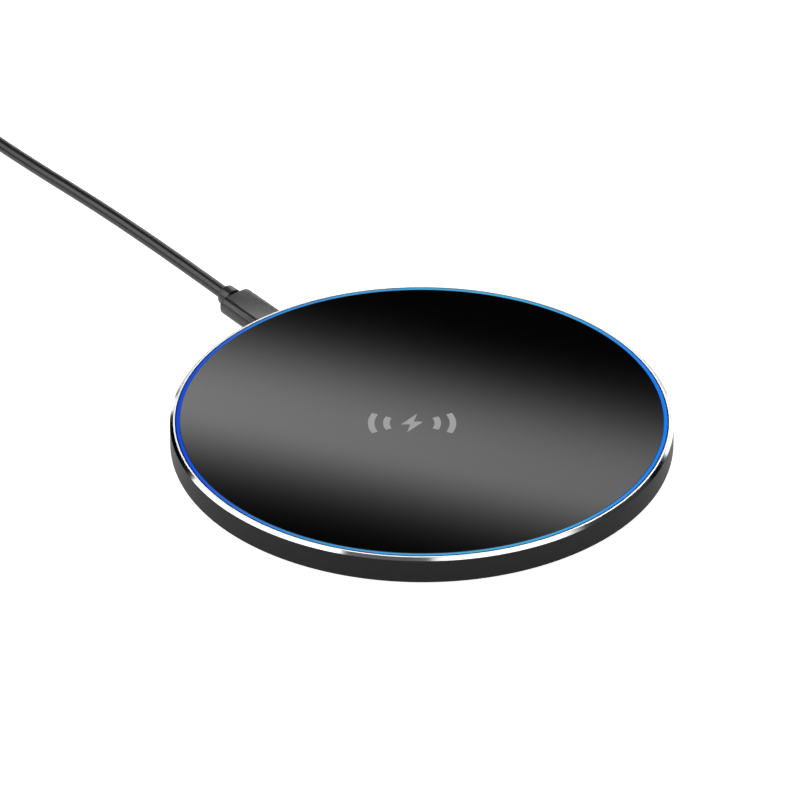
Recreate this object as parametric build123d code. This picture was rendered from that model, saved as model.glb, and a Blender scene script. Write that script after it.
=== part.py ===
from build123d import *
import math
import os

# A round wireless charging pad and its cable, in millimetres. +Z is up, the origin
# is the middle of the pad on the surface it stands on, and the port faces +Y.

# The pad's outside.
pad_radius = 50.0
corner_round = 0.45  # along the side wall's lower edge
chamfer_width = 0.65  # cut chamfer round the top edge
chamfer_drop = 0.48
land_width = 0.34  # flat metal between the chamfer and the light ring
land_sunk = 0.05  # below the glass, so a phone rests on the glass alone
light_sunk = 0.03
light_gap = 0.14  # dark line between the light ring and the metal
light_width = 0.87
glass_fit = 0.03
glass_bevel = 0.12
glass_thickness = 1.2

# The stack, from the surface upwards.
foot_proud = 0.55
foot_sunk = 0.3  # depth of the foot's groove
foot_width = 6.5
foot_inset = 5.0  # from the pad's edge
cover_thickness = 1.0
cover_fit = 0.05
flange_thickness = 0.6
flange_width = 5.0
tape_thickness = 0.1
board_rise = 0.05
board_thickness = 0.8
inner_height = 1.9  # from the board's top to the glass tape
chip_room = 1.0  # under the light guide, for the chips and lamps
guide_flange_width = 4.4
wall_thickness = 1.4  # the carrier's standing walls
rib_height = 1.1
rib_width = 1.0

# The charging coil.
winding_radius = 21.5
winding_bore = 10.25
ferrite_thickness = 0.7
ferrite_margin = 0.5
winding_room = 1.0  # between the ferrite's rim and the carrier's wall
winding_air = 0.05
lead_diameter = 0.8
lead_spread = 1.5
lead_reach = 2.5  # over the board
lead_room = 0.3

# The circuit board.
board_half_width = 19.5
board_room = 0.5
window_room = 1.0  # from the board to the edge of the carrier's window
board_reach = 1.0  # the board stops this short of the metal wall
board_screw_spread = 16.5
board_screw_depth = 12.0  # from the board's front edge
chip_height = 0.8
inductor_width = 3.0
inductor_depth = 12.6

# The light strip.
flex_thickness = 0.12
flex_tab_width = 4.2
lamp_count = 13
lamp_depth = 1.2
lamp_width = 1.6
lamp_height = 0.6

# Screws.
screw_radius = 0.85
screw_length = 2.8
screw_head_radius = 1.6
screw_head_height = 0.45
screw_inset = 9.0  # from the pad's edge
boss_radius = 2.5
small_screw_radius = 0.6
small_head_radius = 1.3
small_head_height = 0.5
recess_depth = 0.25  # of a screw's cross
screw_head_room = 0.05

# The socket in the pad, and the plug that goes into it.
port_height = 3.25
shell_width = 6.85
shell_height = 1.8
shell_cut = 0.75  # the two slanted corners
shell_wall = 0.25
socket_fit = 0.08  # sliding clearance round the plug's shell
socket_length = 5.5
socket_inset = 0.4  # from the pad's edge to the socket's mouth
socket_room = 0.2
plug_gap = 0.15
plug_insertion = 5.0
plug_width = 7.8
plug_thickness = 4.1
plug_round = 1.7
plug_back_round = 0.9
plug_length = 11.85
collar_radius = 2.2
collar_length = 2.7
collar_round = 0.4
foot_tab_width = 1.2  # the socket's two soldered tabs
foot_tab_length = 2.0
tongue_width = 3.6
tongue_rise = 0.12  # above the port's middle
tongue_short = 1.0  # of the socket's mouth
insulator_drop = 0.05  # below the port's middle
contact_fit = 0.03
contact_width = 0.3
contact_pitch = 0.65
contact_short = 0.2  # of the tongue's end

# The cable and its far plug.
cable_diameter = 2.75
coil_middle_radius = 14.85
coil_rows = 2
coil_columns = 5
coil_bite = 0.3  # how far inside the coil's outline each tube ends
tie_thickness = 0.6
tie_width = 4.0
tie_angle = 80.0  # where it goes round the coil, from +X
tie_fit = 0.05
twist_radius = 0.8
twist_length = 9.0
floor_gap = 0.05
far_shell_width = 12.0
far_shell_height = 4.5
far_shell_length = 12.0
far_shell_wall = 0.3
far_plug_width = 15.4
far_plug_thickness = 7.8
far_plug_length = 24.0
far_plug_round = 2.4
far_collar_length = 3.0
far_collar_radius = 2.3
far_window = 2.2
far_window_spread = 2.5
far_window_start = 5.2
far_tongue_height = 1.9
far_tongue_short = 0.4
far_contact_height = 0.15
far_contact_length = 9.0
far_contact_width = 1.0

# Radii that follow from those.
inner_radius = pad_radius - chamfer_width - land_width
guide_radius = inner_radius - light_gap
glass_radius = guide_radius - light_width
guide_inner = guide_radius - guide_flange_width
cover_radius = inner_radius - cover_fit
flange_inner = inner_radius - flange_width
foot_outer = pad_radius - foot_inset
foot_inner = foot_outer - foot_width
screw_circle = pad_radius - screw_inset
ferrite_radius = winding_radius + ferrite_margin
coil_wall_inner = winding_radius + winding_room
coil_wall_outer = coil_wall_inner + wall_thickness
board_back = coil_wall_outer + board_room
board_radius = inner_radius - board_reach
window_half = board_half_width + window_room

# Levels that follow from those.
cover_under = foot_proud
cover_top = cover_under + cover_thickness
groove_top = cover_under + foot_sunk
flange_top = cover_top + flange_thickness
board_under = flange_top + board_rise
board_top = board_under + board_thickness
tape_under = board_top + inner_height
glass_under = tape_under + tape_thickness
pad_height = glass_under + glass_thickness
guide_under = board_top + chip_room
land_height = pad_height - land_sunk
light_height = pad_height - light_sunk
ferrite_under = board_top + tape_thickness
ferrite_top = ferrite_under + ferrite_thickness
winding_under = ferrite_top + tape_thickness
winding_top = tape_under - winding_air
lead_radius = min(lead_diameter, winding_top - winding_under) / 2
screw_head_under = groove_top + screw_head_room
screw_head_top = screw_head_under + screw_head_height

# The socket and plug, along +Y.
socket_half_width = shell_width / 2 + socket_fit + shell_wall
socket_half_height = shell_height / 2 + socket_fit + shell_wall
socket_mouth = pad_radius - socket_inset
socket_back = socket_mouth - socket_length
plug_front = pad_radius + plug_gap
plug_back = plug_front + plug_length
collar_back = plug_back + collar_length
shell_tip = plug_front - plug_insertion

# The cable lies from the plug to its coil on the points of route, and from the coil
# to the far plug on those of tail. The coil turns to the left, seen from above.
coil_low = floor_gap + tie_thickness + tie_fit
coil_half_width = coil_columns * cable_diameter / 2
coil_height = coil_rows * cable_diameter
outer_turn = coil_middle_radius + coil_half_width - cable_diameter / 2
lowest_turn = coil_low + cable_diameter / 2 + coil_bite
highest_turn = coil_low + coil_height - cable_diameter / 2 - coil_bite
route = [
    (0.0, collar_back, port_height),
    (0.0, 97.5, port_height),
    (-0.9, 137.0, 2.2),
    (-0.3, 170.0, lowest_turn),
]
coil_x = route[-1][0] - outer_turn + coil_bite
coil_y = route[-1][1]
far_height = far_plug_thickness / 2 + floor_gap
far_x = coil_x - outer_turn - 0.55
tail = [
    (coil_x - outer_turn + coil_bite, coil_y, highest_turn),
    (coil_x - outer_turn, coil_y - 6.0, highest_turn),
    (far_x, coil_y - 12.2, far_height),
    (far_x, coil_y - 18.1, far_height),
]
far_collar_back = tail[-1][1]
far_back = far_collar_back - far_collar_length
far_front = far_back - far_plug_length

BOTTOM = (Align.CENTER, Align.CENTER, Align.MIN)


def disc(radius, low, high, x=0.0, y=0.0):
    return Pos(x, y, low) * Cylinder(radius, high - low, align=BOTTOM)


def ring(inner, outer, low, high):
    return disc(outer, low, high) - disc(inner, low, high)


def block(x, y, z):
    """A box from three pairs of limits."""
    size = [high - low for low, high in (x, y, z)]
    middle = [(high + low) / 2 for low, high in (x, y, z)]
    return Pos(*middle) * Box(*size)


def chip(x, y, width, depth, height):
    """A component that stands on the board."""
    return Pos(x, y, board_top) * Box(width, depth, height, align=BOTTOM)


def turned(points):
    """The solid that an outline of (radius, height) points sweeps about +Z."""
    face = make_face(Plane.XZ * Polyline(*points, close=True))
    return revolve(face, Axis.Z)


def port_plane(y):
    """Faces +Y, with its second axis up, at the port's height."""
    return Plane(origin=(0, y, port_height), x_dir=(-1, 0, 0), z_dir=(0, 1, 0))


def along_port(face, low, high):
    return extrude(port_plane(low) * face, amount=high - low)


def far_plane(y):
    """Faces -Y, away from the far plug's cable."""
    return Plane(origin=(far_x, y, far_height), x_dir=(1, 0, 0), z_dir=(0, -1, 0))


def along_far(face, high, low):
    return extrude(far_plane(high) * face, amount=high - low)


def from_front(depth):
    """The y that lies this far in from the board's front edge."""
    return board_radius - depth


def shell_face(grow=0.0):
    """The plug shell's outline, wide at the top, grown outwards."""
    half = shell_width / 2 + grow
    tall = shell_height / 2 + grow
    cut = shell_cut + grow * (2 - math.sqrt(2))
    return make_face(
        Polyline(
            (-half, tall),
            (half, tall),
            (half, cut - tall),
            (half - cut, -tall),
            (cut - half, -tall),
            (-half, cut - tall),
            close=True,
        )
    )


# The pad's covers, from the top down.
def top_glass():
    return turned(
        [
            (0, glass_under),
            (glass_radius, glass_under),
            (glass_radius, pad_height - glass_bevel),
            (glass_radius - glass_bevel, pad_height),
            (0, pad_height),
        ]
    )


def glass_tape():
    return ring(guide_inner + light_gap, glass_radius - light_gap, tape_under, glass_under)


def light_guide_ring():
    body = turned(
        [
            (guide_inner, guide_under),
            (guide_radius, guide_under),
            (guide_radius, light_height),
            (glass_radius + glass_fit, light_height),
            (glass_radius + glass_fit, tape_under),
            (guide_inner, tape_under),
        ]
    )
    return body - socket_space()


def socket_space():
    """Room for the socket, through the wall and everything beside it."""
    opening = RectangleRounded(
        2 * (socket_half_width + socket_room),
        2 * (socket_half_height + socket_room),
        socket_half_height / 2,
    )
    return along_port(opening, socket_back - socket_room, pad_radius + corner_round)


def housing_ring():
    body = turned(
        [
            (inner_radius, land_height),
            (pad_radius - chamfer_width, land_height),
            (pad_radius, land_height - chamfer_drop),
            (pad_radius, cover_under),
            (inner_radius, cover_under),
            (inner_radius, cover_top),
            (flange_inner, cover_top),
            (flange_inner, flange_top),
            (inner_radius, flange_top),
        ]
    )
    low_edges = body.edges().filter_by(GeomType.CIRCLE).group_by(Axis.Z)[0]
    outer_edge = low_edges.sort_by(SortBy.RADIUS)[-1]
    return fillet(outer_edge, corner_round) - socket_space()


def screw_places():
    return [
        (screw_circle * math.cos(math.radians(angle)), screw_circle * math.sin(math.radians(angle)))
        for angle in (45, 135, 225, 315)
    ]


def board_screw_places():
    return [(side * board_screw_spread, from_front(board_screw_depth)) for side in (-1, 1)]


def bottom_cover():
    body = disc(cover_radius, cover_under, cover_top)
    body -= ring(foot_inner - cover_fit, foot_outer + cover_fit, cover_under, groove_top)
    for x, y in screw_places():
        body += disc(boss_radius, groove_top, flange_top, x, y)
        body -= disc(screw_head_radius + cover_fit, groove_top, screw_head_top, x, y)
        body -= disc(screw_radius + cover_fit, groove_top, flange_top, x, y)
    for x, y in board_screw_places():
        body += disc(small_head_radius, cover_top, board_under, x, y)
        body -= disc(small_screw_radius, groove_top + tape_thickness, board_under, x, y)
    return body


def foot_ring():
    return ring(foot_inner, foot_outer, 0, groove_top - tape_thickness)


def foot_tape():
    low = groove_top - tape_thickness
    return ring(foot_inner + cover_fit, foot_outer - cover_fit, low, groove_top)


def cross(x, y, low, high, reach):
    """The two slots of a screw's head."""
    arm = reach / 3
    wide = block((x - reach, x + reach), (y - arm, y + arm), (low, high))
    return wide + block((x - arm, x + arm), (y - reach, y + reach), (low, high))


def cover_screws():
    screws = []
    for x, y in screw_places():
        head = disc(screw_head_radius, screw_head_under, screw_head_top, x, y)
        shank = disc(screw_radius, screw_head_top, screw_head_top + screw_length, x, y)
        slots = cross(x, y, screw_head_under, screw_head_under + recess_depth, screw_radius)
        screws.append(head + shank - slots)
    return Compound(children=screws)


def board_screws():
    screws = []
    for x, y in board_screw_places():
        head_top = board_top + small_head_height
        head = disc(small_head_radius, board_top, head_top, x, y)
        shank = disc(small_screw_radius, groove_top + tape_thickness, board_top, x, y)
        slots = cross(x, y, head_top - recess_depth, head_top, small_screw_radius)
        screws.append(head + shank - slots)
    return Compound(children=screws)


# What the pad holds.
def coil_carrier():
    body = disc(inner_radius - socket_room, flange_top, board_top)
    body += ring(coil_wall_inner, coil_wall_outer, board_top, glass_under)
    body += ring(guide_inner, guide_inner + wall_thickness, board_top, guide_under)
    for angle in (-165, -105, -75, -15, 15, 165):
        across = (-rib_width / 2, rib_width / 2)
        rib = block((coil_wall_outer, guide_inner), across, (board_top, board_top + rib_height))
        body += Rot(0, 0, angle) * rib
    for x, y in screw_places():
        body += disc(boss_radius, board_top, guide_under, x, y)
        body -= disc(screw_radius, flange_top, screw_head_top + screw_length, x, y)
    window_back = board_back - board_room / 2
    body -= block((-window_half, window_half), (window_back, pad_radius), (0, pad_height))
    notch = 2 * lead_spread
    body -= block((-notch, notch), (winding_radius, board_back), (board_top, pad_height))
    return body


def ferrite_tape():
    return disc(winding_radius, board_top, ferrite_under)


def ferrite_shield():
    return disc(ferrite_radius, ferrite_under, ferrite_top)


def winding_tape():
    return ring(winding_bore, winding_radius, ferrite_top, winding_under)


def transmitter_winding():
    return ring(winding_bore, winding_radius, winding_under, winding_top)


def winding_leads():
    """Two wires that run from the winding's rim down to the board."""
    start_height = winding_under + lead_radius
    end_height = board_top + lead_radius
    inductor_back = from_front(inductor_depth) - inductor_width / 2
    end_y = min(board_back + lead_reach, inductor_back - lead_room)
    leads = []
    for side in (-1, 1):
        x = side * lead_spread
        line = Polyline(
            (x, winding_radius + lead_radius, start_height),
            (x, coil_wall_outer, start_height),
            (x, board_back + lead_radius, end_height),
            (x, end_y, end_height),
        )
        section = Plane(origin=line @ 0, z_dir=line % 0) * Circle(lead_radius)
        leads.append(sweep(section, line, transition=Transition.RIGHT))
    return Compound(children=leads)


def main_pcb():
    body = disc(board_radius, board_under, board_top)
    sides = (-board_half_width, board_half_width)
    body &= block(sides, (board_back, pad_radius), (board_under, board_top))
    notch = socket_half_width + cover_fit
    body -= block((-notch, notch), (socket_back - cover_fit, pad_radius), (0, pad_height))
    for x, y in board_screw_places():
        body -= disc(small_screw_radius + cover_fit, board_under, board_top, x, y)
    return body


def controller_chip():
    return chip(-9.0, from_front(9.0), 5.0, 5.0, chip_height)


def bridge_transistors():
    places = [(x, from_front(depth)) for x in (8.0, 12.2) for depth in (4.4, 8.6)]
    return Compound(children=[chip(x, y, 3.2, 3.2, chip_height) for x, y in places])


def resonant_capacitors():
    places = [(x, from_front(13.0)) for x in (3.6, 6.0, 8.4, 10.8)]
    return Compound(children=[chip(x, y, 1.6, 3.2, 1.5) for x, y in places])


def filter_inductor():
    return chip(-3.2, from_front(inductor_depth), inductor_width, inductor_width, 1.4)


def crystal():
    return chip(-13.6, from_front(5.2), 2.5, 3.2, 0.7)


def small_capacitors():
    places = [(x, from_front(4.6)) for x in (-10.6, -9.2, -7.8, -6.4)]
    places += [(x, from_front(13.4)) for x in (-10.6, -9.2, -7.8)]
    return Compound(children=[chip(x, y, 0.6, 1.1, 0.5) for x, y in places])


def led_flex():
    """A strip under the light guide, with a tab that reaches over the board."""
    inner = guide_inner + wall_thickness + light_gap
    outer = inner_radius - 2 * socket_room
    high = board_top + flex_thickness
    body = ring(inner, outer, board_top, high)
    body -= block((-window_half, window_half), (0, pad_radius), (0, pad_height))
    low_y = math.sqrt(inner**2 - window_half**2)
    high_y = math.sqrt(board_radius**2 - window_half**2)
    across = (window_half + socket_room - flex_tab_width, window_half + socket_room)
    body += block(across, (low_y, high_y - lead_room), (board_top, high))
    return body


def leds():
    radius = guide_inner + wall_thickness + light_gap + lamp_depth
    low = board_top + flex_thickness
    lamps = []
    for step in range(lamp_count):
        lamp = Pos(radius, 0, low) * Box(lamp_depth, lamp_width, lamp_height, align=BOTTOM)
        lamps.append(Rot(0, 0, 135 + 270 * step / (lamp_count - 1)) * lamp)
    return Compound(children=lamps)


def usb_socket_shell():
    inside = shell_face(socket_fit)
    body = along_port(shell_face(socket_fit + shell_wall), socket_back, socket_mouth)
    body -= along_port(inside, socket_back + shell_wall, socket_mouth)
    for side in (-1, 1):
        near = side * (socket_half_width - shell_wall / 2)
        far = side * (socket_half_width + foot_tab_width)
        along = (socket_back + 1.0, socket_back + 1.0 + foot_tab_length)
        body += block(sorted((near, far)), along, (board_top, board_top + shell_wall))
    return body


def usb_socket_tongue():
    low = port_height + tongue_rise
    high = port_height + shell_height / 2 - shell_wall - 2 * contact_fit
    along = (socket_back + shell_wall, socket_mouth - tongue_short)
    return block((-tongue_width / 2, tongue_width / 2), along, (low, high))


def five_contacts(along, low, high):
    half = contact_width / 2
    places = [step * contact_pitch for step in (-2, -1, 0, 1, 2)]
    strips = [block((x - half, x + half), along, (low, high)) for x in places]
    return Compound(children=strips)


def usb_socket_contacts():
    """Five strips on the tongue's lower face."""
    along = (socket_back + shell_wall, socket_mouth - tongue_short - contact_short)
    return five_contacts(along, port_height + 2 * contact_fit, port_height + tongue_rise)


# The plug in the pad's port.
def plug_overmould():
    body = along_port(RectangleRounded(plug_width, plug_thickness, plug_round), plug_front, plug_back)
    return fillet(body.faces().sort_by(Axis.Y)[-1].edges(), plug_back_round)


def plug_collar():
    body = along_port(Circle(collar_radius), plug_back, collar_back)
    return fillet(body.faces().sort_by(Axis.Y)[-1].edges(), collar_round)


def plug_shell():
    body = along_port(shell_face(), shell_tip, plug_front)
    return body - along_port(shell_face(-shell_wall), shell_tip, plug_front)


def plug_insulator():
    """Fills the lower part of the shell and leaves room for the socket's tongue."""
    body = along_port(shell_face(-shell_wall), shell_tip + contact_short, plug_front)
    high = port_height - insulator_drop
    return body & block((-plug_width, plug_width), (0, 2 * pad_radius), (0, high))


def plug_contacts():
    along = (shell_tip + 2 * contact_short, plug_front)
    return five_contacts(along, port_height - insulator_drop, port_height + contact_fit)


# The cable.
def tube(name, points):
    """A tube along straight runs joined by tangent arcs."""
    runs = [Vector(*b) - Vector(*a) for a, b in zip(points, points[1:])]
    radii = []
    for before, after in zip(runs, runs[1:]):
        half_turn = math.radians(before.get_angle(after)) / 2
        radii.append(0.45 * min(before.length, after.length) / math.tan(half_turn))
    path = FilletPolyline(*points, radius=radii)
    section = Plane(origin=points[0], z_dir=runs[0]) * Circle(cable_diameter / 2)
    body = sweep(section, path)
    expected = math.pi * (cable_diameter / 2) ** 2 * path.length
    print(name, "length", round(path.length, 1), "radii", [round(r, 1) for r in radii])
    print(name, "volume over section times length", round(body.volume / expected, 4))
    return body


def cable_lead():
    return tube("cable_lead", route)


def cable_tail():
    return tube("cable_tail", tail)


def coil_section(grow=0.0):
    """The coil's outline across its turns, beside the coil's axis."""
    face = RectangleRounded(
        2 * (coil_half_width + grow), coil_height + 2 * grow, cable_diameter / 2 + grow
    )
    return Pos(coil_middle_radius, coil_low + coil_height / 2) * face


def cable_coil():
    return Pos(coil_x, coil_y, 0) * revolve(Plane.XZ * coil_section(), Axis.Z)


def cable_tie():
    """A flat tie round the coil, with its two ends twisted together."""
    band = coil_section(tie_fit + tie_thickness) - coil_section(tie_fit)
    arc = math.degrees(tie_width / coil_middle_radius)
    body = Rot(0, 0, -arc / 2) * revolve(Plane.XZ * band, Axis.Z, revolution_arc=arc)
    start = coil_middle_radius + coil_half_width + tie_fit + tie_thickness / 2
    twist = Pos(start, 0, coil_low + coil_height / 2) * Rot(0, 90, 0)
    body += twist * Cylinder(twist_radius, twist_length, align=BOTTOM)
    return Pos(coil_x, coil_y, 0) * Rot(0, 0, tie_angle) * body


# The plug at the cable's far end.
def usb_a_collar():
    body = along_far(Circle(far_collar_radius), far_collar_back, far_back)
    return fillet(body.faces().sort_by(Axis.Y)[-1].edges(), collar_round)


def usb_a_overmould():
    outline = RectangleRounded(far_plug_width, far_plug_thickness, far_plug_round)
    body = along_far(outline, far_back, far_front)
    return fillet(body.faces().sort_by(Axis.Y)[-1].edges(), plug_back_round)


def usb_a_shell():
    tip = far_front - far_shell_length
    body = along_far(Rectangle(far_shell_width, far_shell_height), far_front, tip)
    wide = far_shell_width - 2 * far_shell_wall
    tall = far_shell_height - 2 * far_shell_wall
    body -= along_far(Rectangle(wide, tall), far_front, tip)
    along = (far_front - far_window_start - far_window, far_front - far_window_start)
    for x in (far_x - far_window_spread, far_x + far_window_spread):
        hole = (x - far_window / 2, x + far_window / 2)
        body -= block(hole, along, (far_height, far_height + far_shell_height))
    return body


def usb_a_insulator():
    """The tongue in the lower half of the far plug's shell."""
    half = far_shell_width / 2 - far_shell_wall
    low = far_height - far_shell_height / 2 + far_shell_wall
    along = (far_front - far_shell_length + far_tongue_short, far_front)
    return block((far_x - half, far_x + half), along, (low, low + far_tongue_height))


def usb_a_contacts():
    low = far_height - far_shell_height / 2 + far_shell_wall + far_tongue_height
    along = (far_front - far_contact_length, far_front)
    half = far_contact_width / 2
    strips = []
    for x in (far_x - 3.5, far_x - 1.0, far_x + 1.0, far_x + 3.5):
        strips.append(block((x - half, x + half), along, (low, low + far_contact_height)))
    return Compound(children=strips)


pieces = [
    top_glass,
    glass_tape,
    light_guide_ring,
    housing_ring,
    bottom_cover,
    foot_ring,
    foot_tape,
    cover_screws,
    board_screws,
    coil_carrier,
    ferrite_tape,
    ferrite_shield,
    winding_tape,
    transmitter_winding,
    winding_leads,
    main_pcb,
    controller_chip,
    bridge_transistors,
    resonant_capacitors,
    filter_inductor,
    crystal,
    small_capacitors,
    led_flex,
    leds,
    usb_socket_shell,
    usb_socket_tongue,
    usb_socket_contacts,
    plug_overmould,
    plug_collar,
    plug_shell,
    plug_insulator,
    plug_contacts,
    cable_lead,
    cable_coil,
    cable_tail,
    cable_tie,
    usb_a_collar,
    usb_a_overmould,
    usb_a_shell,
    usb_a_insulator,
    usb_a_contacts,
]

os.makedirs("parts", exist_ok=True)
print("pad", 2 * pad_radius, "by", round(pad_height, 3))
for piece in pieces:
    export_step(piece(), "parts/" + piece.__name__ + ".step")
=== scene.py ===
import math
import bpy
from mathutils import Matrix, Vector


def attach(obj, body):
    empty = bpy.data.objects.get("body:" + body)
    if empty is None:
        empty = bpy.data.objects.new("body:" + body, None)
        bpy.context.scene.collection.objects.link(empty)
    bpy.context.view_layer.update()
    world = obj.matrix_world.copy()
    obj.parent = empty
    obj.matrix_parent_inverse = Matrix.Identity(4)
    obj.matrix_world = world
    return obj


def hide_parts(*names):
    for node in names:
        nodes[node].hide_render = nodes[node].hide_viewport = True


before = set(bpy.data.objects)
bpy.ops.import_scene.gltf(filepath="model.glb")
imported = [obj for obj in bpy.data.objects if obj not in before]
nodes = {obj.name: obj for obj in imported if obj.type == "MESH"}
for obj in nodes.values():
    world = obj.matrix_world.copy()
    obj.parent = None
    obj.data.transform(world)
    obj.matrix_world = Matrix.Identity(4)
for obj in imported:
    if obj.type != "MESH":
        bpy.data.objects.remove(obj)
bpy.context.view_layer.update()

mm = 0.001
micron = 1e-6


# Camera and view
camera = {
    "azimuth": -38.1,  # degrees round the pad, 0 looks along +Y
    "elevation": 32.835,
    "distance": 1.5,  # metres
    "lens": 339.66,
    "aimRight": -4.34,  # millimetres across the view from the pad's axis
    "aimUp": 8.24,  # millimetres up the view
    "aimHeight": 0.62,  # millimetres above the table
    "nearest": 0.05,  # metres, what the camera sees lies between these
    "farthest": 30.0,
}


def viewAxes(azimuth, elevation):
    a, e = math.radians(azimuth), math.radians(elevation)
    away = Vector((-math.sin(a), math.cos(a), 0))
    right = Vector((math.cos(a), math.sin(a), 0))
    look = away * math.cos(e) - Vector((0, 0, math.sin(e)))
    return right, away, look, right.cross(look)


viewRight, viewAway, viewLook, viewUp = viewAxes(camera["azimuth"], camera["elevation"])
aim = Vector((0, 0, camera["aimHeight"])) + viewRight * camera["aimRight"] + viewUp * camera["aimUp"]
bpy.ops.object.camera_add(location=aim * mm - viewLook * camera["distance"])
viewer = bpy.context.object
viewer.name = "viewer"
viewer.rotation_mode = "QUATERNION"
viewer.rotation_quaternion = viewLook.to_track_quat("-Z", "Y")
viewer.data.lens = camera["lens"]
viewer.data.clip_start, viewer.data.clip_end = camera["nearest"], camera["farthest"]
bpy.context.scene.camera = viewer
bpy.context.scene.view_settings.view_transform = "Standard"
print("camera placed")


# Shader helpers
class Wire:  # a socket that Python's arithmetic adds Math nodes to
    def __init__(self, look, socket):
        self.look, self.socket = look, socket

    def math(self, operation, *values):
        return self.look.node("ShaderNodeMath", {"operation": operation}, dict(enumerate(values)))

    def __add__(self, other):
        return self.math("ADD", self, other)

    def __sub__(self, other):
        return self.math("SUBTRACT", self, other)

    def __rsub__(self, other):
        return self.math("SUBTRACT", other, self)

    def __mul__(self, other):
        return self.math("MULTIPLY", self, other)

    def __truediv__(self, other):
        return self.math("DIVIDE", self, other)

    def __rtruediv__(self, other):
        return self.math("DIVIDE", other, self)

    def __pow__(self, other):
        return self.math("POWER", self, other)

    def __rpow__(self, other):
        return self.math("POWER", other, self)

    def __neg__(self):
        return self.math("MULTIPLY", self, -1.0)

    def __abs__(self):
        return self.math("ABSOLUTE", self)

    def __gt__(self, other):  # 1 or 0
        return self.math("GREATER_THAN", self, other)

    __radd__ = __add__
    __rmul__ = __mul__

    def exp(self):
        return self.math("EXPONENT", self)

    def fade(self, low, high):  # 0 below low, 1 above high, smooth between
        sockets = {"Value": self, "From Min": low, "From Max": high}
        return self.look.node("ShaderNodeMapRange", {"interpolation_type": "SMOOTHSTEP"}, sockets)

    def part(self, number):
        return self.look.node("ShaderNodeSeparateXYZ", {}, {0: self}, number)


class Look:  # one procedural material, or the world when its tree is given
    def __init__(self, name, tree=None):
        if tree is None:
            self.material = bpy.data.materials.new(name)
            self.material.use_nodes = True
            tree = self.material.node_tree
        self.tree = tree
        self.tree.nodes.clear()

    def node(self, kind, settings=None, sockets=None, out=0):
        made = self.tree.nodes.new(kind)
        for key, value in (settings or {}).items():
            setattr(made, key, value)
        for key, value in (sockets or {}).items():
            if isinstance(value, Wire):
                self.tree.links.new(value.socket, made.inputs[key])
            elif isinstance(value, tuple) and made.inputs[key].type == "RGBA":
                made.inputs[key].default_value = (*value, 1.0)
            else:
                made.inputs[key].default_value = value
        return Wire(self, made.outputs[out]) if made.outputs else None

    def place(self):
        return self.node("ShaderNodeTexCoord", out="Object")

    def cameraRay(self):  # 1 for what the camera sees directly, 0 for reflections and light
        return self.node("ShaderNodeLightPath", out="Is Camera Ray")

    def stretch(self, vector, scale):
        return self.node("ShaderNodeVectorMath", {"operation": "MULTIPLY"}, {0: vector, 1: scale})

    def noise(self, vector, scale, detail=3.0, rough=0.55):
        sockets = {"Vector": vector, "Scale": scale, "Detail": detail, "Roughness": rough}
        return self.node("ShaderNodeTexNoise", {}, sockets)

    def mix(self, factor, first, second):
        settings = {"data_type": "RGBA", "clamp_factor": True}
        return self.node("ShaderNodeMix", settings, {0: factor, 6: first, 7: second}, 2)

    def bump(self, height, depth):  # depth in micrometres
        sockets = {"Strength": 1.0, "Distance": depth * micron, "Height": height}
        return self.node("ShaderNodeBump", {}, sockets)

    def principled(self, **sockets):
        names = {key.replace("_", " "): value for key, value in sockets.items()}
        return self.node("ShaderNodeBsdfPrincipled", {}, names)

    def glow(self, strength):
        return self.node("ShaderNodeEmission", {}, {"Color": grey(1.0), "Strength": strength})

    def show(self, surface):
        self.node("ShaderNodeOutputMaterial", {}, {"Surface": surface})
        return self.material


def linear(red, green, blue):  # display values from 0 to 255 to scene values
    values = []
    for level in (red / 255, green / 255, blue / 255):
        values.append(level / 12.92 if level <= 0.04045 else ((level + 0.055) / 1.055) ** 2.4)
    return tuple(values)


def grey(level):
    return (level, level, level)


# What the moulded and the metal finishes share: the scale of each pattern, per metre, and how far it
# moves the roughness
patterns = {
    "broadScale": 90.0,
    "wornScale": 260.0,
    "wornReach": 0.12,
    "grainReach": 0.08,
    "streakAcross": 9000.0,
    "streakAlong": 160.0,
    "streakReach": 0.1,
    "streakDepth": 1.0,  # micrometres
    "stainScale": 420.0,
    "stainReach": 0.08,
    "stainLevel": 0.82,  # a stain's colour as a share of the metal's
}


# A moulded, rubbery or coated surface: grain size in millimetres, depth of the grain in micrometres
def mouldedLook(name, colour, roughness, grain, depth, mottle=0.15, specular=0.5):
    look = Look(name)
    place = look.place()
    fine = look.noise(place, 1.0 / (grain * mm), 2.0)
    broad = look.noise(place, patterns["broadScale"], 3.0)
    worn = look.noise(place, patterns["wornScale"], 4.0, 0.65)
    dark = tuple(level * (1.0 - mottle) for level in colour)
    light = tuple(min(level * (1.0 + mottle), 1.0) for level in colour)
    paleBandGrey = roughness + (worn - 0.5) * patterns["wornReach"]
    surface = look.principled(
        Base_Color=look.mix(broad.fade(0.3, 0.7), dark, light),
        Roughness=paleBandGrey + (fine - 0.5) * patterns["grainReach"],
        Specular_IOR_Level=specular,
        Normal=look.bump(fine, depth),
    )
    return look.show(surface)


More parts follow.
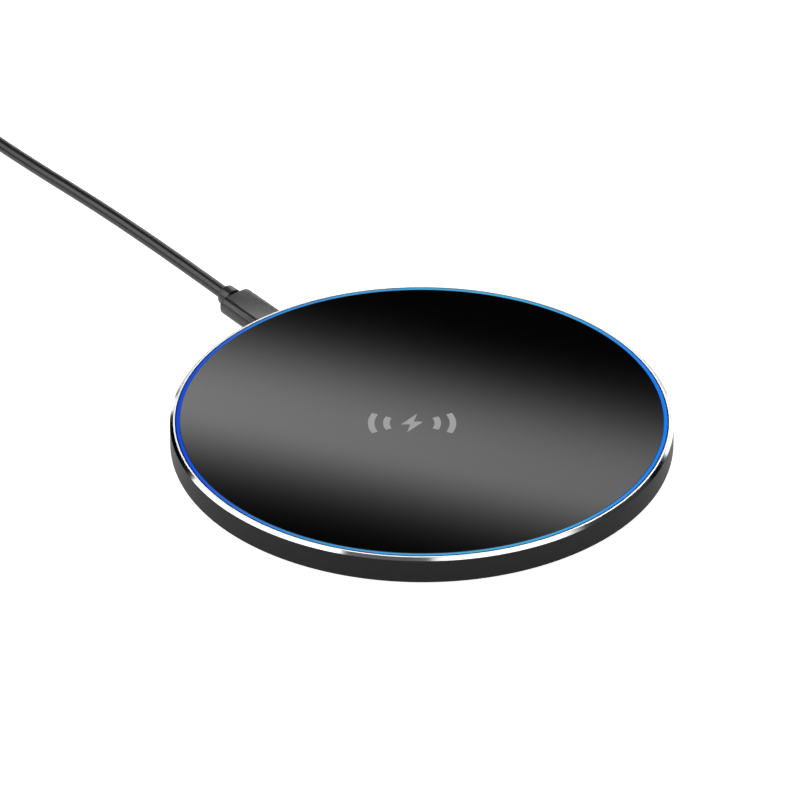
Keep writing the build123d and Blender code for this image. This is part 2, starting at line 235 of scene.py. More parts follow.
# A drawn or turned metal: streaks run along one axis, 0 for X to 2 for Z
def metalLook(name, colour, roughness, along):
    look = Look(name)
    scale = [patterns["streakAcross"]] * 3
    scale[along] = patterns["streakAlong"]
    streaks = look.noise(look.stretch(look.place(), tuple(scale)), 1.0, 2.0)
    stains = look.noise(look.place(), patterns["stainScale"], 4.0, 0.6)
    dull = tuple(level * patterns["stainLevel"] for level in colour)
    streaked = roughness + (streaks - 0.5) * patterns["streakReach"]
    surface = look.principled(
        Base_Color=look.mix(stains.fade(0.35, 0.75), colour, dull),
        Metallic=1.0,
        Roughness=streaked + (stains - 0.5) * patterns["stainReach"],
        Normal=look.bump(streaks, patterns["streakDepth"]),
    )
    return look.show(surface)


# Mesh helpers
def deselectAll():
    if bpy.context.object and bpy.context.object.mode != "OBJECT":
        bpy.ops.object.mode_set(mode="OBJECT")
    bpy.ops.object.select_all(action="DESELECT")


def selectOnly(piece):
    deselectAll()
    piece.select_set(True)
    bpy.context.view_layer.objects.active = piece


def settle(piece, name, angle=30.0):  # place goes into the mesh, normals outwards, smooth up to an angle
    selectOnly(piece)
    piece.name = name
    piece.data.name = name
    bpy.ops.object.transform_apply(location=True, rotation=True, scale=True)
    bpy.ops.object.mode_set(mode="EDIT")
    bpy.ops.mesh.select_mode(type="VERT")
    bpy.ops.mesh.select_all(action="SELECT")
    bpy.ops.mesh.remove_doubles(threshold=0.2 * micron)
    bpy.ops.mesh.normals_make_consistent(inside=False)
    bpy.ops.object.mode_set(mode="OBJECT")
    bpy.ops.object.shade_smooth_by_angle(angle=math.radians(angle))
    return piece


def pick(piece, kind, test):  # in edit mode, selects each FACE or EDGE that passes a test
    bpy.context.view_layer.objects.active = piece
    bpy.ops.object.mode_set(mode="EDIT")
    bpy.ops.mesh.select_mode(type=kind)
    bpy.ops.mesh.select_all(action="DESELECT")
    bpy.ops.object.mode_set(mode="OBJECT")
    mesh = piece.data
    if kind == "FACE":
        for face in mesh.polygons:
            face.select = test(face.center, face.normal)
    else:
        for edge in mesh.edges:
            edge.select = test(*[mesh.vertices[number].co for number in edge.vertices])
    bpy.ops.object.mode_set(mode="EDIT")


# Sweeps an outline of (radius, height), in millimetres, round an upright axis
def turned(name, outline, solid=False, steps=256, angle=30.0):
    deselectAll()
    radius, height = outline[0]
    fill = "NGON" if solid else "NOTHING"
    bpy.ops.mesh.primitive_circle_add(
        vertices=steps, radius=radius * mm, fill_type=fill, location=(0, 0, height * mm)
    )
    piece = bpy.context.object
    bpy.ops.object.mode_set(mode="EDIT")
    bpy.ops.mesh.select_mode(type="VERT")
    bpy.ops.mesh.select_all(action="SELECT")
    for nextRadius, nextHeight in outline[1:] + ([] if solid else outline[:1]):
        grow = nextRadius / radius
        bpy.ops.mesh.extrude_region_move(
            TRANSFORM_OT_translate={"value": (0, 0, (nextHeight - height) * mm)}
        )
        bpy.ops.transform.resize(value=(grow, grow, 1.0))
        radius, height = nextRadius, nextHeight
    return settle(piece, name, angle)


def arc(centre, radius, start, end, count):  # points of an outline's rounded corner
    turn = [math.radians(start + (end - start) * step / count) for step in range(count + 1)]
    return [(centre[0] + radius * math.cos(a), centre[1] + radius * math.sin(a)) for a in turn]


def roundEdges(piece, test, amount, segments):
    pick(piece, "EDGE", test)
    bpy.ops.mesh.bevel(offset=amount * mm, segments=segments, affect="EDGES")
    bpy.ops.object.mode_set(mode="OBJECT")


# A block from corner to corner, with its edges along Y rounded
def roundedBlock(name, low, high, edgeRound, segments):
    deselectAll()
    size = [(b - a) * mm for a, b in zip(low, high)]
    middle = [(a + b) / 2 * mm for a, b in zip(low, high)]
    bpy.ops.mesh.primitive_cube_add(size=1, location=middle)
    piece = bpy.context.object
    piece.name = name
    piece.scale = size
    bpy.ops.object.transform_apply(location=True, rotation=True, scale=True)
    roundEdges(piece, lambda a, b: abs(a.y - b.y) > 0.5 * size[1], edgeRound, segments)
    return piece


def roundEnd(piece, y, amount, segments):  # rounds the rim of the face at this y
    roundEdges(piece, lambda a, b: max(abs(a.y - y * mm), abs(b.y - y * mm)) < micron, amount, segments)


def dress(piece, look):
    piece.data.materials.clear()
    piece.data.materials.append(look)


def wear(look, *names):  # a finish for CAD nodes that stay
    for name in names:
        for slot in nodes[name].material_slots:
            slot.material = look


# Cable: from the pad's plug to its coil, round the coil, and on to the far plug
cable = {
    "diameter": 2.75,
    "length": 1.0,  # metres
    "lead": [(0.0, 64.7, 3.25), (0.1, 97.5, 3.75), (-0.8, 137.0, 2.4), (-0.3, 160.0, 2.1)],
    "tail": [(-40.7, 164.0, 4.8), (-41.25, 157.8, 3.95), (-41.25, 151.9, 3.95)],
    "coilCentre": (-20.35, 170.0),
    "turnRadii": [20.35, 17.6, 14.85, 12.1, 9.35],  # outermost first
    "lowTurns": 2.075,  # height of each layer's turns
    "highTurns": 4.825,
    "pointsPerTurn": 20,
    "jog": 0.2,  # share of a turn in which the cable steps to its next radius
    "stepsPerPoint": 5,  # how finely it is divided along its line, and then round it
    "roundness": 8,
}


def coilPoints():
    points = []
    perTurn = cable["pointsPerTurn"]
    radii = cable["turnRadii"] + cable["turnRadii"][::-1]
    spread = 2.0 / (1.0 + math.cos(2 * math.pi / perTurn))  # the spline runs inside its points
    middleX, middleY = cable["coilCentre"]
    lowLayer, highLayer = cable["lowTurns"], cable["highTurns"]
    lastStep = int((len(radii) - 0.5) * perTurn)
    for step in range(1, lastStep):
        turn, share = divmod(step / perTurn, 1.0)
        turn = int(turn)
        late = max(0.0, (share - 1.0 + cable["jog"]) / cable["jog"])
        late = late * late * (3 - 2 * late)
        here = radii[turn]
        after = radii[min(turn + 1, len(radii) - 1)]
        radius = (here + (after - here) * late) * spread
        height = lowLayer if turn < len(radii) // 2 else highLayer
        if turn == len(radii) // 2 - 1:
            height += (highLayer - lowLayer) * late
        angle = 2 * math.pi * share
        x, y = middleX + radius * math.cos(angle), middleY + radius * math.sin(angle)
        points.append((x, y, height))
    return points


def makeCable():
    deselectAll()
    points = cable["lead"] + coilPoints() + cable["tail"]
    curve = bpy.data.curves.new("cable", "CURVE")
    curve.dimensions = "3D"
    curve.resolution_u = cable["stepsPerPoint"]
    curve.bevel_depth = cable["diameter"] / 2 * mm
    curve.bevel_resolution = cable["roundness"]
    curve.use_fill_caps = True
    spline = curve.splines.new("NURBS")
    spline.points.add(len(points) - 1)
    for point, place in zip(spline.points, points):
        point.co = (*(Vector(place) * mm), 1.0)
    spline.order_u = 3
    spline.use_endpoint_u = True
    piece = bpy.data.objects.new("cable", curve)
    bpy.context.scene.collection.objects.link(piece)
    return piece


cablePiece = makeCable()
cablePiece.data.materials.append(
    mouldedLook("cableJacket", grey(0.022), roughness=0.24, grain=0.22, depth=3.0)
)
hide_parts("cable_lead", "cable_coil", "cable_tail")
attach(cablePiece, "cable")
print("cable laid")


# Top glass
glass = {
    "radius": 48.0,
    "under": 5.0,
    "top": 6.2,
    "bevel": 0.03,
    "level": 47.94,  # radius up to which the top is flat
    "deepBlack": 0.0012,
    "paleBlack": 0.0022,
    "roughness": 0.02,
    "smearScale": 28.0,
    "smearReach": 0.02,
    "dustScale": 900.0,
    "dustReach": 0.01,
}


def glassLook():
    look = Look("blackGlass")
    place = look.place()
    smear = look.noise(place, glass["smearScale"], 3.0, 0.6)
    dust = look.noise(place, glass["dustScale"], 2.0)
    smeared = glass["roughness"] + smear.fade(0.45, 0.8) * glass["smearReach"]
    surface = look.principled(
        Base_Color=look.mix(smear, grey(glass["deepBlack"]), grey(glass["paleBlack"])),
        Roughness=smeared + dust.fade(0.6, 0.9) * glass["dustReach"],
        IOR=1.5,
    )
    return look.show(surface)


rimCentre = (glass["radius"] - glass["bevel"], glass["top"] - glass["bevel"])
glassOutline = [(glass["level"], glass["under"]), (glass["radius"], glass["under"])]
glassOutline += arc(rimCentre, glass["bevel"], 0, 90, 4)
glassOutline += [(glass["level"], glass["top"])]
glassPiece = turned("glassTop", glassOutline, solid=True)
dress(glassPiece, glassLook())
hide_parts("top_glass")
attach(glassPiece, "pad")
print("glass made")


# Print on the glass: a bolt between two pairs of arcs
mark = {
    "turn": -38.1,  # degrees round the pad to where the print's right points
    "middle": (-1.95, -1.9),  # from the pad's middle, in the print's own right and up
    "bolt": [(1.0, 3.4), (-2.2, -0.5), (-0.35, -0.5), (-1.0, -3.4), (2.2, 0.5), (0.35, 0.5)],
    "arcRadii": (5.1, 8.1),
    "arcWidth": 1.3,
    "arcSpread": 25.0,  # degrees each side
    "arcSteps": 14,
    "thickness": 0.012,
    "grey": linear(186, 186, 187),
    "fleckLevel": 0.9,  # a fleck's colour as a share of the print's
    "fleckScale": 3000.0,
    "roughness": 0.5,
    "wornScale": 200.0,
    "wornReach": 0.1,
}


def markLook():
    look = Look("silverPrint")
    place = look.place()
    flecks = look.noise(place, mark["fleckScale"], 2.0)
    worn = look.noise(place, mark["wornScale"], 3.0)
    fleckGrey = tuple(level * mark["fleckLevel"] for level in mark["grey"])
    surface = look.principled(
        Base_Color=look.mix(flecks, mark["grey"], fleckGrey),
        Roughness=mark["roughness"] + (worn - 0.5) * mark["wornReach"],
    )
    return look.show(surface)


def flatShape(points):  # a filled flat shape that lies on the glass
    curve = bpy.data.curves.new("shape", "CURVE")
    curve.dimensions = "2D"
    curve.fill_mode = "BOTH"
    curve.extrude = mark["thickness"] / 2 * mm
    spline = curve.splines.new("POLY")
    spline.points.add(len(points) - 1)
    for point, (x, y) in zip(spline.points, points):
        point.co = ((x + mark["middle"][0]) * mm, (y + mark["middle"][1]) * mm, 0.0, 1.0)
    spline.use_cyclic_u = True
    shape = bpy.data.objects.new("shape", curve)
    bpy.context.scene.collection.objects.link(shape)
    shape.location = (0, 0, (glass["top"] + mark["thickness"] / 2) * mm)
    shape.rotation_euler = (0, 0, math.radians(mark["turn"]))
    shape.select_set(True)
    bpy.context.view_layer.objects.active = shape


def makeMark():
    deselectAll()
    flatShape(mark["bolt"])
    half, spread, steps = mark["arcWidth"] / 2, mark["arcSpread"], mark["arcSteps"]
    for radius in mark["arcRadii"]:
        for side in (0, 180):
            outer = arc((0, 0), radius + half, side - spread, side + spread, steps)
            inner = arc((0, 0), radius - half, side + spread, side - spread, steps)
            flatShape(outer + inner)
    bpy.ops.object.convert(target="MESH")
    bpy.ops.object.join()
    return settle(bpy.context.object, "chargingMark")


markPiece = makeMark()
dress(markPiece, markLook())
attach(markPiece, "pad")
print("mark printed")


# Light guide: a lit ring between the glass and the metal, with a flange under the glass
guide = {
    "outer": 48.87,
    "inner": 48.03,
    "top": 6.17,
    "round": 0.08,
    "flangeInner": 44.47,
    "flangeUnder": 4.0,
    "flangeTop": 4.9,
    "azureSide": -38.1,  # degrees round the pad to the middle of the azure side
    "deep": linear(10, 72, 212),
    "azure": linear(10, 124, 236),
    "cyanLeft": linear(56, 134, 206),
    "cyanRight": linear(74, 186, 222),
    "edge": linear(4, 26, 84),
    "outerEdge": (0.7, 0.92),  # shares of the ring's width between which it darkens to its outer edge
    "outerDark": 0.95,
    "innerEdge": (0.0, 0.14),
    "innerDark": 0.3,
    "cyanShare": 0.85,  # how far the ends turn cyan, and how much more in patches
    "cyanPatches": 0.3,
    "brightness": 0.97,
    "unlit": 0.06,  # share of the lit colour that shows as the plastic's own
    "patchScale": 45.0,
    "roughness": 0.4,
    "roughnessReach": 0.1,
    "specular": 0.03,
}


# Colour follows the angle round the ring: deep blue and azure on opposite sides, cyan between them
def guideLook():
    look = Look("litGuide")
    place = look.place()
    x, y = place.part(0), place.part(1)
    radius = (x * x + y * y) ** 0.5
    turn = math.radians(guide["azureSide"])
    azureward = (x * math.cos(turn) + y * math.sin(turn)) / radius
    sideward = (x * -math.sin(turn) + y * math.cos(turn)) / radius
    sides = look.mix(azureward * 0.5 + 0.5, guide["deep"], guide["azure"])
    cyan = look.mix(azureward * 0.5 + 0.5, guide["cyanLeft"], guide["cyanRight"])
    ends = (sideward * sideward).fade(0.0, 1.0)
    patches = look.noise(place, guide["patchScale"], 2.0)
    tint = look.mix(ends * (guide["cyanShare"] + patches * guide["cyanPatches"]), sides, cyan)
    outwards = (radius - guide["inner"] * mm) / ((guide["outer"] - guide["inner"]) * mm)
    outerDark = outwards.fade(*guide["outerEdge"]) * guide["outerDark"]
    innerDark = (1.0 - outwards.fade(*guide["innerEdge"])) * guide["innerDark"]
    lit = look.mix(outerDark + innerDark, tint, guide["edge"])
    surface = look.principled(
        Base_Color=look.mix(1.0 - guide["unlit"], lit, grey(0.0)),
        Roughness=guide["roughness"] + patches * guide["roughnessReach"],
        Specular_IOR_Level=guide["specular"],
        Emission_Color=lit,
        Emission_Strength=guide["brightness"],
    )
    return look.show(surface)


port = {
    "halfWidth": 3.955,
    "halfHeight": 1.43,
    "height": 3.25,
    "corner": 0.615,
    "cornerSteps": 6,
    "back": 43.9,
    "front": 50.9,
}


def cutPort(piece, angle):  # the opening that the socket sits in
    low = (-port["halfWidth"], port["back"], port["height"] - port["halfHeight"])
    high = (port["halfWidth"], port["front"], port["height"] + port["halfHeight"])
    cutter = roundedBlock("portCutter", low, high, port["corner"], port["cornerSteps"])
    selectOnly(piece)
    cut = piece.modifiers.new("portCut", "BOOLEAN")
    cut.operation = "DIFFERENCE"
    cut.object = cutter
    cut.solver = "EXACT"
    bpy.ops.object.modifier_apply(modifier=cut.name)
    bpy.data.objects.remove(cutter)
    bpy.ops.object.shade_smooth_by_angle(angle=math.radians(angle))


inset = guide["round"]
guideOutline = [
    (guide["flangeInner"], guide["flangeUnder"]),
    (guide["outer"], guide["flangeUnder"]),
]
guideOutline += arc((guide["outer"] - inset, guide["top"] - inset), inset, 0, 90, 3)
guideOutline += arc((guide["inner"] + inset, guide["top"] - inset), inset, 90, 180, 3)
guideOutline += [(guide["inner"], guide["flangeTop"]), (guide["flangeInner"], guide["flangeTop"])]
guidePiece = turned("lightGuide", guideOutline)
cutPort(guidePiece, 35.0)
dress(guidePiece, guideLook())
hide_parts("light_guide_ring")
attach(guidePiece, "pad")
print("light guide made")


# Metal ring: satin black wall, bright cut chamfer and land
metal = {
    "inner": 49.01,
    "outer": 50.0,
    "landOuter": 49.35,
    "landHeight": 6.15,
    "chamferFoot": 5.67,
    "under": 0.55,
    "underRound": 0.45,
    "flangeInner": 44.01,
    "flangeUnder": 1.55,
    "flangeTop": 2.15,
    "edge": 0.03,  # how far each corner is broken
    "chamferOut": 0.8,  # the chamfer's direction, outwards and down
    "chamferDown": 0.6,
    "steps": 360,
    "smoothTo": 16.0,  # degrees
    "wallDark": 0.042,
    "wallPale": 0.048,
    "paleBandGrey": 0.09,
    "paleBandShare": 0.2,
    "footPaleBand": (0.55, 0.95),  # heights between which the paler band at the foot and the one under the chamfer fade
    "topPaleBand": (5.5, 5.67),
    "wallRoughness": 0.36,
    "wallGrainScale": 4200.0,
    "wallGrainReach": 0.14,
    "wallGrainDepth": 1.2,  # micrometres
    "wallPatchScale": 60.0,
    "wallPatchReach": 0.06,
    "wallSpecular": 0.05,
    "chamferLevel": 0.6,
    "chamferRoughness": 0.1,
    "chamferUpward": (0.35, 0.95),  # least and most that its faces' normals point up
    "landLevel": 0.92,
    "landRoughness": 0.42,
    "landUpward": (0.95, 1.1),
    "cutTint": (1.0, 1.005, 1.015),
    "cutDull": 0.95,
    "cutScale": 30000.0,
    "cutPatchScale": 120.0,
    "cutReach": 0.02,
}


def wallLook():
    look = Look("blackWall")
    place = look.place()
    grain = look.noise(place, metal["wallGrainScale"], 2.0)
    broad = look.noise(place, metal["wallPatchScale"], 3.0)
    height = place.part(2) / mm
    # the wall's colour turns paler towards its foot and just under the chamfer
    paleBands = (1.0 - height.fade(*metal["footPaleBand"])) + height.fade(*metal["topPaleBand"])
    colour = look.mix(broad, grey(metal["wallDark"]), grey(metal["wallPale"]))
    grained = metal["wallRoughness"] + (grain - 0.5) * metal["wallGrainReach"]
    surface = look.principled(
        Base_Color=look.mix(paleBands * metal["paleBandShare"], colour, grey(metal["paleBandGrey"])),
        Metallic=0.0,
        Roughness=grained + (broad - 0.5) * metal["wallPatchReach"],
        Specular_IOR_Level=metal["wallSpecular"],
        Normal=look.bump(grain, metal["wallGrainDepth"]),
    )
    return look.show(surface)


def cutLook(name, level, roughness):  # bright metal with the faint rings that turning leaves
    look = Look(name)
    place = look.place()
    x, y, z = place.part(0), place.part(1), place.part(2)
    radius = (x * x + y * y) ** 0.5
    passes = look.noise(look.node("ShaderNodeCombineXYZ", {}, {0: radius, 1: z}), metal["cutScale"], 1.0)
    patches = look.noise(place, metal["cutPatchScale"], 3.0)
    bright = tuple(level * share for share in metal["cutTint"])
    turnedRoughness = roughness + (passes - 0.5) * metal["cutReach"]
    surface = look.principled(
        Base_Color=look.mix(patches, bright, grey(level * metal["cutDull"])),
        Metallic=1.0,
        Roughness=turnedRoughness + (patches - 0.5) * metal["cutReach"],
    )
    return look.show(surface)


edgeOut, edgeDown = metal["edge"] * metal["chamferOut"], metal["edge"] * metal["chamferDown"]
roundCentre = (metal["outer"] - metal["underRound"], metal["under"] + metal["underRound"])
metalOutline = [
    (metal["inner"], metal["landHeight"]),
    (metal["landOuter"] - metal["edge"], metal["landHeight"]),
    (metal["landOuter"] + edgeOut, metal["landHeight"] - edgeDown),
    (metal["outer"] - edgeOut, metal["chamferFoot"] + edgeDown),
    (metal["outer"], metal["chamferFoot"] - metal["edge"]),
]
metalOutline += arc(roundCentre, metal["underRound"], 0, -90, 6)
metalOutline += [
    (metal["inner"], metal["under"]),
    (metal["inner"], metal["flangeUnder"]),
    (metal["flangeInner"], metal["flangeUnder"]),
    (metal["flangeInner"], metal["flangeTop"]),
    (metal["inner"], metal["flangeTop"]),
]
metalPiece = turned("metalRing", metalOutline, steps=metal["steps"], angle=metal["smoothTo"])
cutPort(metalPiece, metal["smoothTo"])
dress(metalPiece, wallLook())
cuts = (
    ("brightChamfer", metal["chamferLevel"], metal["chamferRoughness"], metal["chamferUpward"]),
    ("brightLand", metal["landLevel"], metal["landRoughness"], metal["landUpward"]),
)
for number, (name, level, roughness, (least, most)) in enumerate(cuts, 1):
    metalPiece.data.materials.append(cutLook(name, level, roughness))
    pick(
        metalPiece,
        "FACE",
        lambda middle, normal: middle.z > metal["chamferFoot"] * mm and least < normal.z < most,
    )
    metalPiece.active_material_index = number
    bpy.ops.object.material_slot_assign()
    bpy.ops.object.mode_set(mode="OBJECT")
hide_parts("housing_ring")
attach(metalPiece, "pad")
print("metal ring made")


# Foot ring: silicone, with a rounded tread
foot = {"inner": 38.5, "outer": 45.0, "top": 0.75, "round": 0.2, "steps": 180}
treadRound = foot["round"]
footOutline = [(foot["inner"], foot["top"])]
footOutline += arc((foot["inner"] + treadRound, treadRound), treadRound, 180, 270, 4)
footOutline += arc((foot["outer"] - treadRound, treadRound), treadRound, 270, 360, 4)
footOutline += [(foot["outer"], foot["top"])]
footPiece = turned("footRing", footOutline, steps=foot["steps"])
footLook = mouldedLook("siliconeFoot", grey(0.03), roughness=0.72, grain=0.35, depth=9.0, specular=0.4)
dress(footPiece, footLook)
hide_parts("foot_ring")
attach(footPiece, "pad")
print("foot made")


# Plugs: a body rounded along its length and at both ends, and a round collar behind it, along Y
plugFacets = {"edge": 10, "back": 8, "front": 3, "collarSides": 48, "collarEnd": 5, "smoothTo": 35.0}
plugLook = mouldedLook("plugPlastic", grey(0.03), roughness=0.26, grain=0.16, depth=3.0, specular=0.55)


def plugBody(name, plug):
    low = (plug["x"] - plug["halfWidth"], plug["front"], plug["z"] - plug["halfHeight"])
    high = (plug["x"] + plug["halfWidth"], plug["back"], plug["z"] + plug["halfHeight"])
    piece = roundedBlock(name, low, high, plug["edgeRound"], plugFacets["edge"])
    roundEnd(piece, plug["back"], plug["backRound"], plugFacets["back"])
    roundEnd(piece, plug["front"], plug["frontRound"], plugFacets["front"])
    return settle(piece, name, plugFacets["smoothTo"])


def plugCollar(name, plug):
    deselectAll()
    middle = (plug["x"], (plug["back"] + plug["collarEnd"]) / 2, plug["z"])
    bpy.ops.mesh.primitive_cylinder_add(
        vertices=plugFacets["collarSides"],
        radius=plug["collarRadius"] * mm,
        depth=(plug["collarEnd"] - plug["back"]) * mm,
        location=[value * mm for value in middle],
        rotation=(math.pi / 2, 0, 0),
    )
    piece = bpy.context.object
    bpy.ops.object.transform_apply(location=True, rotation=True, scale=True)
    roundEnd(piece, plug["collarEnd"], plug["collarRound"], plugFacets["collarEnd"])
    return settle(piece, name, plugFacets["smoothTo"])


# Plug in the pad's port
padPlug = {
    "x": 0.0,
    "z": 3.25,
    "halfWidth": 3.9,
    "halfHeight": 2.05,
    "front": 50.15,
    "back": 62.0,
    "edgeRound": 1.7,
    "backRound": 0.9,
    "frontRound": 0.15,
    "collarRadius": 2.2,
    "collarEnd": 64.7,
    "collarRound": 0.4,
}
plugPiece = plugBody("plugBody", padPlug)
dress(plugPiece, plugLook)
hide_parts("plug_overmould")
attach(plugPiece, "cable")
collarPiece = plugCollar("plugCollar", padPlug)
dress(collarPiece, plugLook)
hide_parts("plug_collar")
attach(collarPiece, "cable")
print("plug made")


# Plug at the cable's far end
farPlug = {
    "x": -41.25,
    "z": 3.95,
    "halfWidth": 7.7,
    "halfHeight": 3.9,
    "front": 124.9,
    "back": 148.9,
    "edgeRound": 2.4,
    "backRound": 0.9,
    "frontRound": 0.25,
    "collarRadius": 2.3,
    "collarEnd": 151.9,
    "collarRound": 0.4,
}
farPiece = plugBody("farPlugBody", farPlug)
dress(farPiece, plugLook)
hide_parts("usb_a_overmould")
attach(farPiece, "cable")
farCollar = plugCollar("farPlugCollar", farPlug)
dress(farCollar, plugLook)
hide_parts("usb_a_collar")
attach(farCollar, "cable")
print("far plug made")


# Finishes of the CAD nodes that stay
wear(
    mouldedLook("coverPlastic", grey(0.022), roughness=0.55, grain=0.3, depth=9.0),
    "bottom_cover",
)
wear(
    mouldedLook("tapeFilm", (0.74, 0.72, 0.66), roughness=0.5, grain=0.6, depth=3.0),
    "glass_tape", "foot_tape", "ferrite_tape", "winding_tape",
)
wear(
    mouldedLook("carrierPlastic", (0.5, 0.51, 0.52), roughness=0.5, grain=0.4, depth=6.0),
    "coil_carrier",
)
wear(
    mouldedLook("ferrite", (0.07, 0.07, 0.075), roughness=0.6, grain=0.2, depth=7.0, mottle=0.3),
    "ferrite_shield", "filter_inductor",
)
wear(
    mouldedLook("chipMould", grey(0.02), roughness=0.5, grain=0.12, depth=4.0),
    "controller_chip", "bridge_transistors",
)
wear(
    mouldedLook("contactCarrier", grey(0.015), roughness=0.4, grain=0.2, depth=2.0),
    "usb_socket_tongue", "plug_insulator", "usb_a_insulator",
)
wear(
    mouldedLook("firedCeramic", (0.42, 0.3, 0.18), roughness=0.5, grain=0.1, depth=2.0, mottle=0.25),
    "resonant_capacitors", "small_capacitors",
)
wear(
    mouldedLook("filmStrip", (0.5, 0.24, 0.05), roughness=0.3, grain=0.5, depth=1.0, mottle=0.2),
    "led_flex",
)
wear(
    mouldedLook("lampLens", (0.8, 0.84, 0.88), roughness=0.2, grain=0.3, depth=1.0, mottle=0.05),
    "leds",
)
wear(
    mouldedLook("tiePlastic", grey(0.03), roughness=0.45, grain=0.3, depth=8.0),
    "cable_tie",
)
wear(
    mouldedLook("solderMask", (0.01, 0.09, 0.04), roughness=0.25, grain=0.8, depth=4.0, mottle=0.3),
    "main_pcb",
)
wear(
    metalLook("screwSteel", grey(0.12), roughness=0.35, along=2),
    "cover_screws",
)
wear(
    metalLook("tinnedSteel", grey(0.66), roughness=0.22, along=1),
    "usb_socket_shell", "plug_shell", "usb_a_shell", "crystal", "board_screws",
)
wear(
    metalLook("goldPlate", (0.92, 0.68, 0.3), roughness=0.2, along=1),
    "usb_socket_contacts", "plug_contacts", "usb_a_contacts",
)
wear(
    metalLook("copperWire", (0.78, 0.36, 0.18), roughness=0.3, along=0),
    "transmitter_winding", "winding_leads",
)
print("CAD nodes finished")


# Floor and lights
studio = {
    "floorSize": 14.0,
    "floorDrop": 0.02,  # millimetres under the table's level, clear of the foot
    "floorGrey": 0.82,
    "floorRoughness": 0.9,
    "floorGlow": 0.45,
    "floorLift": 0.55,  # added for the camera alone, so that soft shadows don't grey the floor
    "distance": 0.85,  # metres from the pad to the lights
    "fillDistance": 0.8925,  # the fills stand behind the lights and show only between them
    # each soft light: its direction and its long side's, as right, away and up of the view; length and
    # width in metres; brightness; share of the length over which each end fades
    "lights": {
        "leftSoftbox": ((-0.618, 0.124, 0.78), (-0.43, 0.777, -0.463), 0.91, 0.2, 3.0, 0.05),
        "leftLowSoftbox": ((-0.92, 0.13, 0.36), (0.14, 0.99, 0.0), 0.42, 0.36, 2.4, 0.0),
        "rightSoftbox": ((0.334, -0.114, 0.939), (-0.89, -0.37, 0.19), 0.78, 0.4, 2.6, 0.24),
        "farSoftbox": ((0.1, 0.64, 0.77), (1.0, 0.0, 0.0), 0.5, 0.34, 3.2, 0.0),
        "rightLowSoftbox": ((0.62, 0.77, 0.17), (0.77, -0.62, 0.0), 0.5, 0.3, 2.0, 0.0),
        "lowStrip": ((-0.33, 0.93, 0.047), (0.94, 0.33, 0.0), 0.55, 0.079, 2.0, 0.0),
        "farLowSoftbox": ((0.1, 0.94, 0.3), (1.0, 0.0, 0.0), 0.34, 0.17, 2.7, 0.0),
    },
    "fills": {
        "gapFill": ((-0.14, -0.27, 0.95), (1.0, 0.0, 0.0), 0.34, 0.3, 0.17, 0.0),
        "sideFill": ((0.7, 0.28, 0.66), (0.4, -0.9, 0.0), 0.5, 0.4, 0.06, 0.0),
    },
}

band = {  # the soft reflection that lies across the glass
    "distance": 0.6,  # metres from the glass to the panel
    "length": 0.22,
    "width": 0.12,
    "angle": -21.3,  # degrees on the glass, from the view's right
    "middle": -14.9,  # the rest is in millimetres on the glass
    "fadeAway": 26.3,
    "fadeNear": 14.5,
    "powerAway": 2.8,
    "powerNear": 1.82,
    "slope": -0.0029,  # growth per millimetre along the band
    "brightness": 2.0,
}


def fromView(right, away, up):
    return (viewRight * right + viewAway * away + Vector((0, 0, up))).normalized()


# A glowing sheet that faces the pad and that the camera doesn't see
def addPanel(name, toward, side, length, width, distance, look, target=Vector()):
    deselectAll()
    bpy.ops.mesh.primitive_plane_add(size=1, location=target + toward * distance)
    panel = bpy.context.object
    panel.name = name
    side = (side - toward * side.dot(toward)).normalized()
    panel.rotation_mode = "QUATERNION"
    panel.rotation_quaternion = Matrix((side, side.cross(toward), -toward)).transposed().to_quaternion()
    for vertex in panel.data.vertices:
        vertex.co.x *= length
        vertex.co.y *= width
    panel.data.materials.append(look)
    panel.visible_camera = False


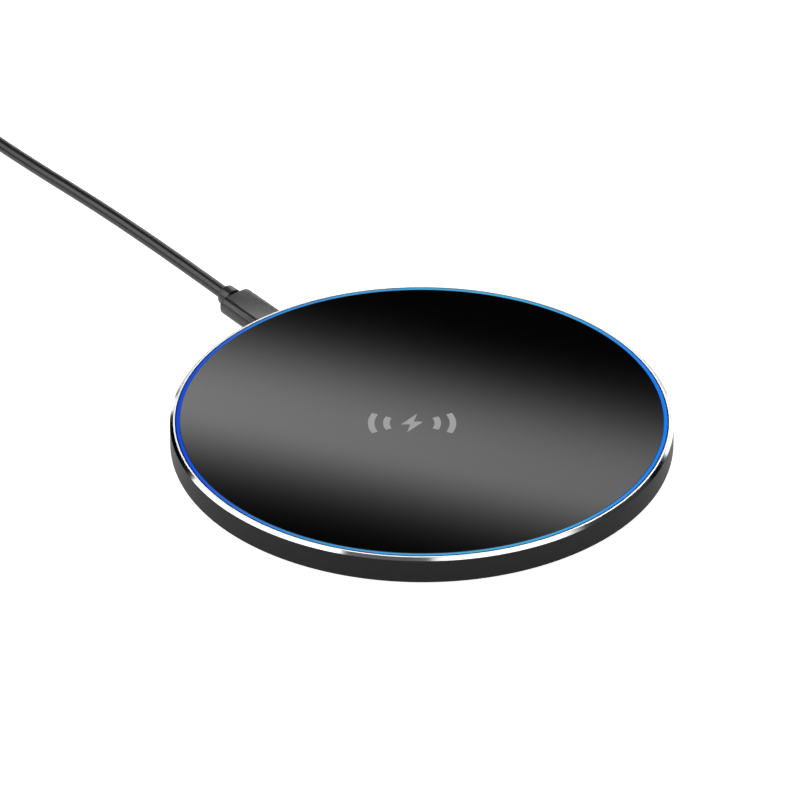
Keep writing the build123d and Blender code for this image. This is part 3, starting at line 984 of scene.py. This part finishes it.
def glowLook(name, strength, length, fade):
    look = Look(name)
    if fade:
        fromEnd = 0.5 - abs(look.place().part(0)) * (1.0 / length)
        strength = fromEnd.fade(0.0, fade) * strength
    return look.show(look.glow(strength))


def addLights(lights, distance):
    for name, (toward, side, length, width, strength, fade) in lights.items():
        look = glowLook(name, strength, length, fade)
        addPanel(name, fromView(*toward), fromView(*side), length, width, distance, look)


def bandLook():
    look = Look("softBand")
    place = look.place()
    spread = 1.0 + band["distance"] / camera["distance"]
    x = place.part(0) * (1.0 / (spread * mm))  # back on to the glass, in millimetres
    y = place.part(1) * (-1.0 / (spread * mm * math.sin(math.radians(camera["elevation"]))))
    turn = math.radians(band["angle"])
    across = y * math.cos(turn) - x * math.sin(turn) - band["middle"]
    along = x * math.cos(turn) + y * math.sin(turn)
    farFall = (abs(across) / band["fadeAway"]) ** band["powerAway"]
    nearFall = (abs(across) / band["fadeNear"]) ** band["powerNear"]
    isFar = across > 0.0
    fall = farFall * isFar + nearFall * (1.0 - isFar)
    glow = (-fall).exp() * (along * band["slope"]).exp()
    return look.show(look.glow(glow * band["brightness"]))


addLights(studio["lights"], studio["distance"])
addLights(studio["fills"], studio["fillDistance"])
addPanel(
    "softBand", viewLook.reflect(Vector((0, 0, 1))), viewRight, band["length"], band["width"],
    band["distance"], bandLook(), Vector((0, 0, glass["top"] * mm)),
)

deselectAll()
bpy.ops.mesh.primitive_plane_add(size=studio["floorSize"], location=(0, 0, -studio["floorDrop"] * mm))
floor = bpy.context.object
floor.name = "floor"
floorLook = Look("paleFloor")
floorSurface = floorLook.principled(
    Base_Color=grey(studio["floorGrey"]),
    Roughness=studio["floorRoughness"],
    Specular_IOR_Level=0.0,
    Emission_Color=grey(1.0),
    Emission_Strength=studio["floorGlow"] + floorLook.cameraRay() * studio["floorLift"],
)
floor.data.materials.append(floorLook.show(floorSurface))

world = bpy.data.worlds.new("studio")
world.use_nodes = True
bpy.context.scene.world = world
air = Look("studioAir", world.node_tree)
backdrop = air.node("ShaderNodeBackground", {}, {"Color": grey(1.0), "Strength": air.cameraRay()})
air.node("ShaderNodeOutputWorld", {}, {"Surface": backdrop})
print("studio lit")
